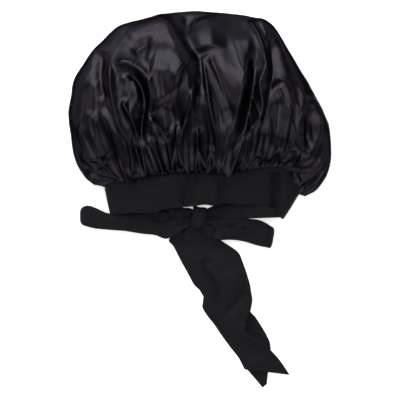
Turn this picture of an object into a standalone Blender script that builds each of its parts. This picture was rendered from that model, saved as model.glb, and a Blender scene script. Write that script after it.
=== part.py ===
"""Sleep bonnet lying flat: a gathered satin crown, a knit band round its opening, and two ties in a bow.

Metres, +Z up. The surface that it lies on is z = 0, the crown points along +Y and the opening faces -Y.
Every table holds shares of the named sizes above it.
"""

import math
from collections import namedtuple

import bmesh
import bpy
from mathutils import Vector

# Crown: one round piece of satin, drawn in along the band
CROWN_WIDTH = 0.340
CROWN_LENGTH = 0.231
CROWN_HEIGHT = 0.080
CROWN_EDGE_LIFT = 0.014
CROWN_WALL = 0.0015
GATHER_RISE = 0.007
GATHER_COUNT = 11
FOLD_RISE = 0.012

# Band: a doubled knit tube, wide enough for a head when it is drawn open
SEAM_WIDTH = 0.254
SEAM_HEIGHT = 0.036
SEAM_ARCH = 0.022
SEAM_SHIFT = 0.0025
SEAM_TILT = 0.008
BAND_DEPTH = 0.043
BAND_WALL = 0.0026
BAND_EDGE_LIFT = 0.013
RIM_WIDTH = 0.226
RIM_HEIGHT = 0.031
RIM_ARCH = 0.0137
RIM_SHIFT = -0.0043
RIM_TILT = 0.0065

# Ties: flat doubled knit strips, knotted below the band's middle
TIE_WIDTH = 0.050
TIE_WALL = 0.0022
TIE_FOLD_RISE = 0.012
KNOT_WIDTH = 0.038
KNOT_DEPTH = 0.026
KNOT_HEIGHT = 0.021
KNOT_SHIFT = -0.0125
KNOT_DROP = 0.0160
LOOP_WIDTH = 0.031
LOOP_GAP = 0.009
LEFT_LOOP_LENGTH = 0.143
LEFT_LOOP_SLANT = 0.0
RIGHT_LOOP_LENGTH = 0.109
RIGHT_LOOP_SLANT = 0.045
TAIL_LENGTH = 0.222
TAIL_ANGLE = math.radians(26.3)

# Clearances between pieces
SEAT_GAP = 0.00035
LAYER_GAP = 0.0005
SEAM_GAP = 0.0007
STRAP_GAP = 0.0010

# How finely the cloth is cut into faces
RING_POINTS = 80
CROWN_ROWS = 17
BAND_ROWS = 3
TAIL_ROWS = 24
LOOP_ROWS = 34
STRAP_ROWS = 14
TIE_COLUMNS = 5

TAU = 2 * math.pi
WELD = 1e-6
SIDE_POWER = 0.85
DOME_POWER = 0.75
FLOOR_POWER = 0.6
FLOOR_PRESS = 1.15

# Crown sections from the seam to the far edge. left and right are shares of half the width, the *_along columns and
# middle are shares of the length, and height is a share of the crown's height.
CrownSection = namedtuple("CrownSection", "rise left left_along right right_along middle height")
CROWN_SECTIONS = [
    CrownSection(0.05, 0.81, 0.02, 0.80, -0.045, 0.12, 0.58),
    CrownSection(0.11, 0.885, 0.065, 0.89, 0.00, 0.16, 0.73),
    CrownSection(0.19, 0.955, 0.15, 0.97, 0.09, 0.23, 0.86),
    CrownSection(0.28, 0.995, 0.275, 1.0, 0.20, 0.32, 0.95),
    CrownSection(0.37, 1.005, 0.40, 0.975, 0.35, 0.42, 1.0),
    CrownSection(0.46, 0.985, 0.53, 0.90, 0.485, 0.515, 1.0),
    CrownSection(0.55, 0.95, 0.635, 0.815, 0.61, 0.61, 0.96),
    CrownSection(0.63, 0.86, 0.735, 0.715, 0.73, 0.695, 0.88),
    CrownSection(0.71, 0.755, 0.83, 0.625, 0.84, 0.78, 0.76),
    CrownSection(0.79, 0.635, 0.905, 0.525, 0.93, 0.86, 0.61),
    CrownSection(0.87, 0.43, 0.955, 0.38, 0.972, 0.925, 0.45),
    CrownSection(0.94, 0.21, 0.99, 0.18, 0.985, 0.975, 0.31),
    CrownSection(1.00, 0.025, 1.0, -0.025, 1.0, 1.0, 0.19),
]

# The drawn-in seam and the free rim across the upper layer, as shares of their arch
LinePoint = namedtuple("LinePoint", "across arch")
SEAM_LINE = [
    LinePoint(-1.0, 0.0),
    LinePoint(-0.88, 0.50),
    LinePoint(-0.7, 0.50),
    LinePoint(-0.5, 0.72),
    LinePoint(-0.3, 0.95),
    LinePoint(0.0, 1.0),
    LinePoint(0.25, 1.0),
    LinePoint(0.5, 1.29),
    LinePoint(0.75, 1.50),
    LinePoint(0.9, 1.25),
    LinePoint(1.0, 0.0),
]
RIM_LINE = [
    LinePoint(-1.0, 0.0),
    LinePoint(-0.8, 0.17),
    LinePoint(-0.5, 0.31),
    LinePoint(-0.35, 0.70),
    LinePoint(-0.05, 0.95),
    LinePoint(0.09, 1.15),
    LinePoint(0.2, 1.08),
    LinePoint(0.3, 1.33),
    LinePoint(0.5, 1.30),
    LinePoint(0.75, 1.33),
    LinePoint(0.87, 1.0),
    LinePoint(1.0, 0.0),
]
CROWN_ARCH_POWER = 6
UNDER_ARCH_POWER = 4
UNDER_RIM_ARCH = 1.5

# Large folds of the crown's upper layer: where each starts, bends and ends across the crown, and how far it runs.
# rise is a share of FOLD_RISE and below zero in a hollow; width is a share of half the crown's width.
Fold = namedtuple("Fold", "name seam bend tip start end rise width")
CROWN_FOLDS = [
    Fold("centre_hollow", -0.06, -0.03, -0.20, 0.18, 0.98, -1.0, 0.09),
    Fold("centre_ridge", 0.13, 0.10, 0.02, 0.00, 0.80, 0.7, 0.05),
    Fold("right_hollow", 0.20, 0.36, 0.42, 0.10, 0.92, -0.9, 0.09),
    Fold("right_ridge", 0.22, 0.46, 0.60, 0.00, 0.98, 0.9, 0.05),
    Fold("right_pouch", 0.80, 0.72, 0.68, 0.02, 0.62, 0.9, 0.08),
    Fold("right_pleat", 0.62, 0.58, 0.60, 0.00, 0.55, -0.7, 0.05),
    Fold("far_right_ridge", 0.93, 0.86, 0.84, 0.05, 0.60, 0.6, 0.05),
    Fold("left_centre_ridge", -0.14, -0.16, -0.08, 0.00, 0.60, 0.7, 0.05),
    Fold("left_centre_hollow", -0.26, -0.30, -0.32, 0.05, 0.60, -0.6, 0.08),
    Fold("hook_ridge", -0.38, -0.42, -0.62, 0.05, 0.72, 0.8, 0.05),
    Fold("left_ridge", -0.58, -0.70, -0.76, 0.00, 0.55, 0.7, 0.05),
    Fold("far_left_ridge", -0.70, -0.80, -0.88, 0.00, 0.75, 0.8, 0.06),
    Fold("left_lobe_hollow", -0.88, -0.91, -0.93, 0.08, 0.50, -0.5, 0.05),
    Fold("upper_left_facet", -0.40, -0.36, -0.34, 0.62, 1.00, 0.8, 0.16),
    Fold("upper_left_crease", -0.55, -0.56, -0.56, 0.60, 0.98, -0.7, 0.07),
]

# Tie tails from the knot to the cut ends, measured along the tail and across it from its straight centre line. along
# columns are shares of the tail's length, left and right of the tie's width, lifts of the tie's fold rise.
TailSection = namedtuple("TailSection", "left_along left right_along right lift_left lift_middle lift_right")
FRONT_TAIL = [
    TailSection(0.00, -0.10, 0.00, 0.20, 0.0, 0.0, 0.0),
    TailSection(0.05, -0.22, 0.09, 0.20, 0.0, 0.0, 0.0),
    TailSection(0.10, -0.33, 0.20, 0.50, 0.0, 0.05, 0.0),
    TailSection(0.18, -0.41, 0.31, 0.71, 0.0, 0.10, 0.05),
    TailSection(0.28, -0.50, 0.41, 0.71, 0.05, 0.0, 0.35),
    TailSection(0.37, -0.60, 0.51, 0.63, 0.0, 0.25, 0.50),
    TailSection(0.48, -0.73, 0.61, 0.47, 0.0, 0.45, 0.35),
    TailSection(0.57, -0.72, 0.67, 0.19, 0.0, 0.20, 0.25),
    TailSection(0.67, -0.65, 0.75, 0.01, 0.0, 0.15, 0.45),
    TailSection(0.77, -0.59, 0.88, 0.31, 0.05, 0.10, 0.30),
    TailSection(0.86, -0.52, 0.97, 0.40, 0.0, 0.10, 0.05),
    TailSection(0.94, -0.49, 1.11, 0.52, 0.0, 0.10, 0.0),
]
BACK_TAIL = [
    TailSection(0.00, -0.25, 0.00, 0.02, 0.0, 0.0, 0.0),
    TailSection(0.03, -0.40, 0.06, -0.10, 0.0, 0.0, 0.0),
    TailSection(0.06, -0.84, 0.15, -0.03, 0.0, 0.0, 0.0),
    TailSection(0.11, -0.79, 0.24, 0.20, 0.0, 0.0, 0.0),
    TailSection(0.20, -0.76, 0.32, 0.23, 0.0, 0.0, 0.0),
    TailSection(0.32, -0.74, 0.43, 0.37, 0.0, 0.0, 0.0),
    TailSection(0.41, -0.66, 0.54, 0.41, 0.0, 0.0, 0.0),
    TailSection(0.51, -0.66, 0.64, 0.33, 0.0, 0.0, 0.0),
    TailSection(0.63, -0.64, 0.73, 0.41, 0.0, 0.0, 0.0),
    TailSection(0.75, -0.57, 0.82, 0.42, 0.0, 0.0, 0.0),
    TailSection(0.90, -0.48, 0.90, 0.38, 0.0, 0.0, 0.0),
    TailSection(1.00, -0.40, 0.96, 0.29, 0.0, 0.0, 0.0),
    TailSection(1.09, -0.29, 1.01, 0.14, 0.0, 0.0, 0.0),
]

# Bow loops from the knot outwards. along is a share of the loop's length, upper and lower of the loop's width from
# the knot's middle, lift of the knot's height, and gap of the space between the loop's two layers.
LoopSection = namedtuple("LoopSection", "along upper lower lift gap")
LEFT_LOOP = [
    LoopSection(0.00, -0.02, -0.30, 0.30, 0.42),
    LoopSection(0.11, -0.14, -0.58, 0.30, 0.45),
    LoopSection(0.20, -0.26, -0.84, 0.30, 0.55),
    LoopSection(0.29, -0.14, -0.75, 0.30, 0.70),
    LoopSection(0.36, 0.09, -0.76, 0.30, 0.80),
    LoopSection(0.55, 0.12, -0.66, 0.30, 0.85),
    LoopSection(0.71, 0.12, -0.60, 0.26, 0.90),
    LoopSection(0.82, 0.21, -0.57, 0.10, 1.00),
    LoopSection(0.91, 0.36, -0.52, 0.02, 0.95),
    LoopSection(1.00, 0.44, -0.31, 0.00, 0.90),
]
RIGHT_LOOP = [
    LoopSection(0.00, -0.04, -0.28, 0.30, 0.42),
    LoopSection(0.15, -0.20, -0.52, 0.30, 0.45),
    LoopSection(0.26, -0.22, -0.88, 0.29, 0.60),
    LoopSection(0.39, -0.20, -1.00, 0.28, 0.80),
    LoopSection(0.56, -0.14, -1.06, 0.16, 1.00),
    LoopSection(0.67, -0.14, -1.12, 0.04, 1.00),
    LoopSection(0.83, -0.24, -1.26, 0.00, 1.00),
    LoopSection(0.94, -0.40, -1.34, 0.00, 0.95),
    LoopSection(1.00, -0.56, -1.24, 0.00, 0.85),
]

# Straps from the band's side to the knot. Each strip is folded lengthwise: run is the share of the way to the knot,
# its two edges and fold are offsets from the knot's middle as shares of the loop's width, and low and high are the
# heights of its two layers as shares of the knot's height.
StrapSection = namedtuple("StrapSection", "run low_edge high_edge fold low high")
LEFT_STRAP = [
    StrapSection(0.34, 0.16, 0.16, -0.02, 0.06, 0.20),
    StrapSection(0.50, 0.20, 0.20, -0.06, 0.06, 0.20),
    StrapSection(0.60, 0.28, 0.28, -0.06, 0.06, 0.24),
    StrapSection(0.70, 0.40, 0.40, -0.14, 0.08, 0.48),
    StrapSection(0.80, 0.40, 0.40, -0.02, 0.12, 0.44),
    StrapSection(1.00, 0.30, 0.30, 0.10, 0.14, 0.36),
]
RIGHT_STRAP = [
    StrapSection(0.12, 0.16, 0.32, 0.02, 0.06, 0.66),
    StrapSection(0.28, 0.40, 0.50, 0.00, 0.06, 0.55),
    StrapSection(0.50, 0.52, 0.53, -0.03, 0.06, 0.48),
    StrapSection(0.68, 0.54, 0.55, -0.05, 0.06, 0.46),
    StrapSection(0.76, 0.44, 0.46, -0.10, 0.08, 0.45),
    StrapSection(0.84, 0.32, 0.32, -0.10, 0.12, 0.44),
    StrapSection(1.00, 0.24, 0.24, 0.04, 0.14, 0.36),
]
LEFT_STRAP_START = (math.radians(234), math.radians(196))
RIGHT_STRAP_START = (math.radians(-34), math.radians(30))


def clear_scene():
    for old in list(bpy.data.objects):
        bpy.data.objects.remove(old)


def mix(low, high, share):
    return low + (high - low) * share


def column_value(table, key, column, at):
    """A table's column at any place, on a smooth curve through its rows."""
    places = [getattr(row, key) for row in table]
    values = [getattr(row, column) for row in table]
    if at <= places[0]:
        return values[0]
    if at >= places[-1]:
        return values[-1]
    last = len(places) - 1
    i = max(k for k in range(last) if places[k] <= at)
    step = places[i + 1] - places[i]
    share = (at - places[i]) / step
    before, after = max(i - 1, 0), min(i + 2, last)
    slope_in = (values[i + 1] - values[before]) / (places[i + 1] - places[before]) * step
    slope_out = (values[after] - values[i]) / (places[after] - places[i]) * step
    square, cube = share**2, share**3
    return (
        values[i] * (2 * cube - 3 * square + 1)
        + slope_in * (cube - 2 * square + share)
        + values[i + 1] * (3 * square - 2 * cube)
        + slope_out * (cube - square)
    )


def row_at(table, key, at):
    """A whole row of a table, worked out at any place."""
    kind = type(table[0])
    found = {name: column_value(table, key, name, at) for name in kind._fields if name != "name"}
    return kind(**found)


def loop_across(angle):
    """How far across the flattened loop a point at this angle lies, from -1 to 1."""
    side = math.cos(angle)
    return math.copysign(abs(side) ** SIDE_POWER, side)


def loop_lift(angle, edge, top):
    """The height of the flattened loop: up over the upper layer, and down to the surface under the lower one."""
    rise = math.sin(angle)
    if rise >= 0:
        return edge + (top - edge) * rise**DOME_POWER
    return max(0.0, edge * (1 - FLOOR_PRESS * (-rise) ** FLOOR_POWER))


def seam_point(angle):
    """A point of the ring where crown and band meet, on the outside."""
    across = loop_across(angle)
    if math.sin(angle) >= 0:
        arch = column_value(SEAM_LINE, "across", "arch", across)
    else:
        arch = 1 - abs(across) ** UNDER_ARCH_POWER
    x = SEAM_SHIFT + across * SEAM_WIDTH / 2
    y = SEAM_ARCH * arch - across * SEAM_TILT / 2
    return Vector((x, y, loop_lift(angle, BAND_EDGE_LIFT, SEAM_HEIGHT)))


def rim_point(angle):
    """A point of the band's free rim, on the outside."""
    across = loop_across(angle)
    if math.sin(angle) >= 0:
        arch = column_value(RIM_LINE, "across", "arch", across)
    else:
        arch = UNDER_RIM_ARCH * (1 - abs(across) ** UNDER_ARCH_POWER)
    x = RIM_SHIFT + across * RIM_WIDTH / 2
    side = SEAM_ARCH - BAND_DEPTH - RIM_ARCH
    y = side + RIM_ARCH * arch - across * RIM_TILT / 2
    return Vector((x, y, loop_lift(angle, BAND_EDGE_LIFT, RIM_HEIGHT)))


def band_point(u, v):
    angle = -TAU * u
    return rim_point(angle).lerp(seam_point(angle), v)


def fold_lift(across, rise):
    """How far the crown's large folds raise or lower its upper layer here."""
    lift = 0.0
    for fold in CROWN_FOLDS:
        if not fold.start < rise < fold.end:
            continue
        share = (rise - fold.start) / (fold.end - fold.start)
        line = (1 - share) ** 2 * fold.seam + 2 * share * (1 - share) * fold.bend + share**2 * fold.tip
        fade = min(1.0, 4 * share + 0.2, 4 * (1 - share))
        lift += FOLD_RISE * fold.rise * fade / (1 + ((across - line) / fold.width) ** 2)
    return lift


def gather_lift(across, rise):
    """The row of pleats above the seam, which fades up the crown."""
    reach = 0.42
    if rise >= reach:
        return 0.0
    fade = (1 - rise / reach) ** 2 * min(1.0, rise / 0.05)
    return GATHER_RISE * fade * math.cos(math.pi * GATHER_COUNT * across)


def crown_point(u, v):
    angle = -TAU * u
    across = loop_across(angle)
    upper = max(0.0, math.sin(angle))
    first = CROWN_SECTIONS[0].rise
    row = row_at(CROWN_SECTIONS, "rise", max(v, first))
    right = row.right * CROWN_WIDTH / 2
    left = -row.left * CROWN_WIDTH / 2
    share = (across + 1) / 2
    side = mix(row.left_along, row.right_along, share) * CROWN_LENGTH
    middle = row.middle * CROWN_LENGTH
    seam_reach = max(0.0, 1 - v / 0.4) ** 2
    if math.sin(angle) >= 0:
        seam_shape = column_value(SEAM_LINE, "across", "arch", across)
    else:
        seam_shape = 1 - abs(across) ** UNDER_ARCH_POWER
    arch = mix(1 - abs(across) ** CROWN_ARCH_POWER, seam_shape, seam_reach)
    top = row.height * CROWN_HEIGHT
    edge = min(CROWN_EDGE_LIFT, top)
    point = Vector((mix(left, right, share), side + (middle - side) * arch, loop_lift(angle, edge, top)))
    folds = (fold_lift(across, v) + gather_lift(across, v)) * upper ** 0.5
    point.z += folds * min(1.0, (1 - v) / 0.12)
    if v < first:
        start = seam_point(angle) + Vector((0, SEAM_GAP, 0))
        point = start.lerp(point, v / first)
    return point


def knot_centre():
    middle_rim = SEAM_ARCH - BAND_DEPTH
    return Vector((KNOT_SHIFT, middle_rim - KNOT_DROP, 0))


def tail_point(sections, u, v, base):
    """A point of a tail's middle surface; base is the height at which its flat stretches lie."""
    at = v * (len(sections) - 1)
    i = min(int(at), len(sections) - 2)
    share = at - i
    first, second = sections[i], sections[i + 1]
    row = TailSection(*(mix(a, b, share) for a, b in zip(first, second)))
    down = mix(row.left_along, row.right_along, u) * TAIL_LENGTH
    across = mix(row.left, row.right, u) * TIE_WIDTH
    lift = row.lift_left * (1 - u) * (1 - 2 * u) + row.lift_middle * 4 * u * (1 - u) + row.lift_right * u * (2 * u - 1)
    along_axis = Vector((math.sin(TAIL_ANGLE), -math.cos(TAIL_ANGLE), 0))
    cross_axis = Vector((math.cos(TAIL_ANGLE), math.sin(TAIL_ANGLE), 0))
    height = base + TIE_FOLD_RISE * max(0.0, lift)
    return knot_centre() + along_axis * down + cross_axis * across + Vector((0, 0, height))


def loop_profile(v):
    """The way round a loop: out along the lower layer, round the end and back along the upper one.

    Gives how far along it lies and how far up from the lower layer to the upper one.
    """
    turn_share = 0.16
    straight = (1 - turn_share) / 2
    turn_depth = 0.035
    if v < straight:
        return (1 - turn_depth) * v / straight, 0.0
    if v > 1 - straight:
        return (1 - turn_depth) * (1 - v) / straight, 1.0
    turn = math.pi * (v - straight) / turn_share
    return 1 - turn_depth + turn_depth * math.sin(turn), (1 - math.cos(turn)) / 2


def loop_point(sections, length, slant, way, u, v):
    """A point of a loop; slant is how much shorter its lower edge is, as a share of its length."""
    along, layer = loop_profile(v)
    row = row_at(sections, "along", along)
    reach = along * length * (1 - slant * (1 - u))
    base = TIE_WALL / 2 + SEAT_GAP / 2
    offset = mix(row.lower, row.upper, u) * LOOP_WIDTH
    height = base + row.lift * KNOT_HEIGHT + layer * row.gap * LOOP_GAP
    return knot_centre() + Vector((way * reach, offset, height))


def strap_point(sections, start_turn, way, u, v):
    """A strip folded lengthwise: u runs from its lower edge round the fold to its upper edge."""
    angle = mix(*start_turn, u)
    outside = rim_point(angle)
    inward = Vector((-math.cos(angle), 0, -math.sin(angle)))
    start = outside + inward * BAND_WALL / 2 - Vector((0, STRAP_GAP, 0))
    centre = knot_centre()
    reach = abs(rim_point(0.0 if way > 0 else math.pi).x - centre.x)
    first = sections[0].run
    row = row_at(sections, "run", max(v, first))
    round_fold = math.sin(math.pi * u)
    x = centre.x + way * reach * (1 - row.run)
    y = centre.y + mix(mix(row.low_edge, row.high_edge, u), row.fold, round_fold) * LOOP_WIDTH
    z = mix(row.low, row.high, (1 - math.cos(math.pi * u)) / 2) * KNOT_HEIGHT
    point = Vector((x, y, z))
    if v < first:
        point = start.lerp(point, v / first)
    point.z = max(point.z, TIE_WALL / 2 + LAYER_GAP / 2)
    return point


def cloth(name, columns, rows, place, wall, side, material):
    """A piece of cloth: a grid whose points go where place(u, v) says, given its wall by Solidify.

    side is -1 for a wall inside the surface and 0 for a wall half to each side.
    """
    mesh = bmesh.new()
    bmesh.ops.create_grid(mesh, x_segments=columns, y_segments=rows, size=0.5)
    for vertex in mesh.verts:
        vertex.co = place(vertex.co.x + 0.5, vertex.co.y + 0.5)
    bmesh.ops.remove_doubles(mesh, verts=mesh.verts, dist=WELD)
    piece = finish_mesh(name, mesh, material)
    solidify = piece.modifiers.new("Wall", "SOLIDIFY")
    solidify.thickness = wall
    solidify.offset = side
    return piece


def finish_mesh(name, mesh, material):
    data = bpy.data.meshes.new(name)
    mesh.to_mesh(data)
    mesh.free()
    data.shade_smooth()
    data.materials.append(material)
    piece = bpy.data.objects.new(name, data)
    bpy.context.scene.collection.objects.link(piece)
    return piece


def knot_mesh(room):
    """The knot's rounded lump, with the wrap's waist; room is how far it is swollen to cut its neighbours."""
    mesh = bmesh.new()
    bmesh.ops.create_uvsphere(mesh, u_segments=24, v_segments=12, radius=1)
    centre = knot_centre()
    for vertex in mesh.verts:
        unit = vertex.co.copy()
        square = Vector(math.copysign(abs(part) ** 0.7, part) for part in unit)
        waist = 1 - 0.10 * math.cos(3 * unit.x) ** 2
        x = square.x * (KNOT_WIDTH / 2 + room)
        y = square.y * (KNOT_DEPTH / 2 + room) * waist
        z = KNOT_HEIGHT / 2 + square.z * (KNOT_HEIGHT / 2 + room)
        vertex.co = centre + Vector((x, y, z))
    return mesh


def make_knot(material):
    return finish_mesh("bow_knot", knot_mesh(0.0), material)


def make_knot_room(material):
    """The cutter that ends each strap, loop and tail just clear of the knot."""
    room = finish_mesh("knot_room", knot_mesh(SEAT_GAP), material)
    room.hide_render = True
    room.display_type = "WIRE"
    return room


def cut_clear(piece, room):
    cut = piece.modifiers.new("Clear of knot", "BOOLEAN")
    cut.operation = "DIFFERENCE"
    cut.object = room


def make_material(name, colour, roughness):
    material = bpy.data.materials.new(name)
    material.use_nodes = True
    shader = material.node_tree.nodes["Principled BSDF"]
    shader.inputs["Base Color"].default_value = (*colour, 1)
    shader.inputs["Roughness"].default_value = roughness
    shader.inputs["Metallic"].default_value = 0
    return material


def centre_on_origin(pieces):
    """Moves everything so that the middle of the whole thing's footprint is the origin."""
    bpy.context.view_layer.update()
    graph = bpy.context.evaluated_depsgraph_get()
    corners = [Vector(corner) for piece in pieces for corner in piece.evaluated_get(graph).bound_box]
    middle_x = (min(c.x for c in corners) + max(c.x for c in corners)) / 2
    middle_y = (min(c.y for c in corners) + max(c.y for c in corners)) / 2
    for piece in bpy.context.scene.objects:
        piece.location = Vector((-middle_x, -middle_y, 0))


def main():
    clear_scene()
    satin = make_material("black_satin", (0.012, 0.011, 0.014), 0.3)
    knit = make_material("black_knit", (0.010, 0.010, 0.011), 0.85)

    crown = cloth("crown", RING_POINTS, CROWN_ROWS, crown_point, CROWN_WALL, -1, satin)
    band = cloth("band", RING_POINTS, BAND_ROWS, band_point, BAND_WALL, -1, knit)

    floor_layer = TIE_WALL / 2
    second_layer = floor_layer + TIE_WALL + LAYER_GAP
    ties = [
        cloth("tail_back", TIE_COLUMNS, TAIL_ROWS, lambda u, v: tail_point(BACK_TAIL, u, v, floor_layer),
              TIE_WALL, 0, knit),
        cloth("tail_front", TIE_COLUMNS, TAIL_ROWS, lambda u, v: tail_point(FRONT_TAIL, u, v, second_layer),
              TIE_WALL, 0, knit),
        cloth("bow_loop_left", TIE_COLUMNS, LOOP_ROWS,
              lambda u, v: loop_point(LEFT_LOOP, LEFT_LOOP_LENGTH, LEFT_LOOP_SLANT, -1, u, v), TIE_WALL, 0, knit),
        cloth("bow_loop_right", TIE_COLUMNS, LOOP_ROWS,
              lambda u, v: loop_point(RIGHT_LOOP, RIGHT_LOOP_LENGTH, RIGHT_LOOP_SLANT, 1, u, v), TIE_WALL, 0, knit),
        cloth("strap_left", 2 * TIE_COLUMNS, STRAP_ROWS,
              lambda u, v: strap_point(LEFT_STRAP, LEFT_STRAP_START, -1, u, v), TIE_WALL, 0, knit),
        cloth("strap_right", 2 * TIE_COLUMNS, STRAP_ROWS,
              lambda u, v: strap_point(RIGHT_STRAP, RIGHT_STRAP_START, 1, u, v), TIE_WALL, 0, knit),
    ]
    knot = make_knot(knit)
    room = make_knot_room(knit)
    for piece in ties:
        cut_clear(piece, room)
    centre_on_origin([crown, band, knot, *ties])


main()
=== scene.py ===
"""A black sleep bonnet lying flat: a gathered satin crown, a knit band and two ties in a bow, on a pale floor."""

import math
from collections import namedtuple

import bmesh
import bpy
import numpy as np
from bpy.props import FloatProperty, FloatVectorProperty, IntProperty, PointerProperty
from bpy.types import Operator, Panel, PropertyGroup
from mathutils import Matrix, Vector


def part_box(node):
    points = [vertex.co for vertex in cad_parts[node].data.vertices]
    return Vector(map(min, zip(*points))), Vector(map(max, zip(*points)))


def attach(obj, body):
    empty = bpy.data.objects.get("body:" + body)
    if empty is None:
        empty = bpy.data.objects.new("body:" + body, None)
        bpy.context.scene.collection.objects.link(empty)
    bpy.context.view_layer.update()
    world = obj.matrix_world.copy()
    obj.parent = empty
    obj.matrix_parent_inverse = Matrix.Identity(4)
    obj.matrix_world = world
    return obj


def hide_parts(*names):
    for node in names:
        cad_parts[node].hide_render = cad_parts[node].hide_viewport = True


bl_info = {
    "name": "Sleep Bonnet",
    "version": (1, 0, 0),
    "blender": (4, 5, 0),
    "location": "3D View > Sidebar > Bonnet",
    "description": "Makes a gathered satin sleep bonnet with a knit band and ties in a bow",
    "category": "Add Mesh",
}

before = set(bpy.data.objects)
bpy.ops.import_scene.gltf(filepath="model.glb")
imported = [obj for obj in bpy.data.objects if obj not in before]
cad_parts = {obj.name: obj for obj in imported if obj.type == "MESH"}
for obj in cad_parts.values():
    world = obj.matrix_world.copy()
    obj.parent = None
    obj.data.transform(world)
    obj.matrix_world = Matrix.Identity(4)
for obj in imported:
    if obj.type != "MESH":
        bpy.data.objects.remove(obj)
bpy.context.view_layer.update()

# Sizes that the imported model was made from, in metres, apart from the slant and the angle
CROWN_WIDTH = 0.340
CROWN_LENGTH = 0.231
CROWN_HEIGHT = 0.080
CROWN_EDGE_LIFT = 0.014
SEAM_WIDTH = 0.254
SEAM_HEIGHT = 0.036
SEAM_ARCH = 0.022
SEAM_SHIFT = 0.0025
SEAM_TILT = 0.008
BAND_DEPTH = 0.043
BAND_EDGE_LIFT = 0.013
RIM_WIDTH = 0.226
RIM_HEIGHT = 0.031
RIM_ARCH = 0.0137
RIM_SHIFT = -0.0043
RIM_TILT = 0.0065
TIE_WIDTH = 0.050
TIE_FOLD_RISE = 0.012
KNOT_HEIGHT = 0.021
KNOT_SHIFT = -0.0125
KNOT_DROP = 0.0160
LOOP_WIDTH = 0.031
LOOP_GAP = 0.009
RIGHT_LOOP_SLANT = 0.045
TAIL_LENGTH = 0.222
TAIL_ANGLE = math.radians(26.3)

# Sizes of this scene alone, in metres. The crown lies a little lower than its solid, and the loops are measured from
# the middle of the wrap, which is narrower than the solid knot.
CROWN_SETTLE = 0.004
WRAP_WIDTH = 0.021
WRAP_DEPTH = 0.027
WRAP_SHIFT = 0.0108
LEFT_LOOP_LENGTH = 0.1538
RIGHT_LOOP_LENGTH = 0.0982
SEAM_TUCK = np.array((-0.004, -0.002, -0.0012))
RIPPLE_REACH = 0.030
STRAP_INSET = 0.0013
STRAP_TUCK = 0.002
BAND_SLACK_RISE = 0.0004
PUCKER_RISE = 0.0005
TIE_SLACK_RISE = 0.0005

# Clearances in metres: over the floor, under the loops and straps, and between the two tails. Points closer together
# than WELD are joined.
FLOOR_GAP = 0.0001
UNDER_GAP = 0.0002
TAIL_GAP = 0.0004
WELD = 1e-6

# Powers and shares that shape the flattened ring of the opening and its arches
SIDE_POWER = 0.85
DOME_POWER = 0.75
FLOOR_POWER = 0.6
FLOOR_PRESS = 1.15
CROWN_ARCH_POWER = 6
UNDER_ARCH_POWER = 4
UNDER_RIM_ARCH = 1.5
SEAM_LINE_REACH = 0.4

# How points are spread: the share of the columns that lie on the upper layer, the power that draws the crown's rows
# to the seam, the shares of the rows that go round the rim's fold and a loop's turn, the turn's share of the loop's
# length, and the points along a fold's path
CROWN_UPPER_COLUMNS = 0.74
BAND_UPPER_COLUMNS = 0.6
CROWN_ROW_POWER = 1.2
RIM_FOLD_ROWS = 0.12
LOOP_TURN_ROWS = 0.14
LOOP_TURN_DEPTH = 0.035
PATH_SAMPLES = 28

# Faces across and along the crown, the band and the knot, and the sizes of two cloth maps in metres
CROWN_GRID = (404, 118)
BAND_GRID = (300, 70)
KNOT_GRID = (96, 64)
CROWN_MAP = (0.9, 0.3)
BAND_MAP = (0.52, 0.09)

# Pleats over the seam, puckers across the band and ripples across a tie near the knot. The width is a share of the
# way from crest to crest, reaches are shares of the way to the crown's far edge, and rises of the pleats' height.
CREST_WIDTH = 0.13
PLEAT_DEPTH = 0.75
PLEAT_REACH = 0.20
PLEAT_REACH_SPREAD = 0.10
TUCK_REACH = 0.05
TUCK_RISE = 0.3
PUCKERS = 34
RIPPLES = 2.5

# A calmer patch in the crown: its place from the middle of the seam's side line, and its half width and half length,
# in metres
CALM_PLACE = (-0.010, 0.120)
CALM_REACH = (0.075, 0.085)

# Seeded waves: the seed, how many waves, the slowest and the fastest. The last three leave the seed to each tie.
PLEAT_SWAY = (3, 5, 0.6, 2.2)
PLEAT_DEPTHS = (5, 4, 0.5, 2.0)
PLEAT_REACHES = (8, 4, 0.6, 2.4)
CALM_WAVES = (21, 4, 0.5, 1.4)
BAND_SLACK = (41, 4, 0.5, 1.5)
TIE_SLACK = (4, 0.5, 1.5)
STRAP_SLACK = (4, 0.5, 1.6)
KNOT_RIPPLE = (3, 0.5, 2)

# Creased facets: the seed, how many waves, the shortest and the longest in metres, and how far they turn in radians
BROAD_FACETS = (39, 5, 0.045, 0.080, 1.1)
SMALL_FACETS = (23, 6, 0.016, 0.034, 1.3)

# The knot's wrap. Each groove has its depth, its place and its width, in shares of the wrap's half width. The middle,
# the half and the slope are shares of the knot's height, and the lean and the corner are in metres.
KNOT_SQUARENESS = 0.42
KNOT_GROOVES = ((0.03, -0.30, 0.10), (0.05, 0.35, 0.08))
KNOT_CREASE = 0.03
KNOT_WAIST = 0.10
KNOT_LEAN = 0.0022
KNOT_CORNER = 0.014
KNOT_MIDDLE = 0.46
KNOT_HALF = 0.40
KNOT_SLOPE = 0.05
KNOT_TAPER = 0.06

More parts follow.
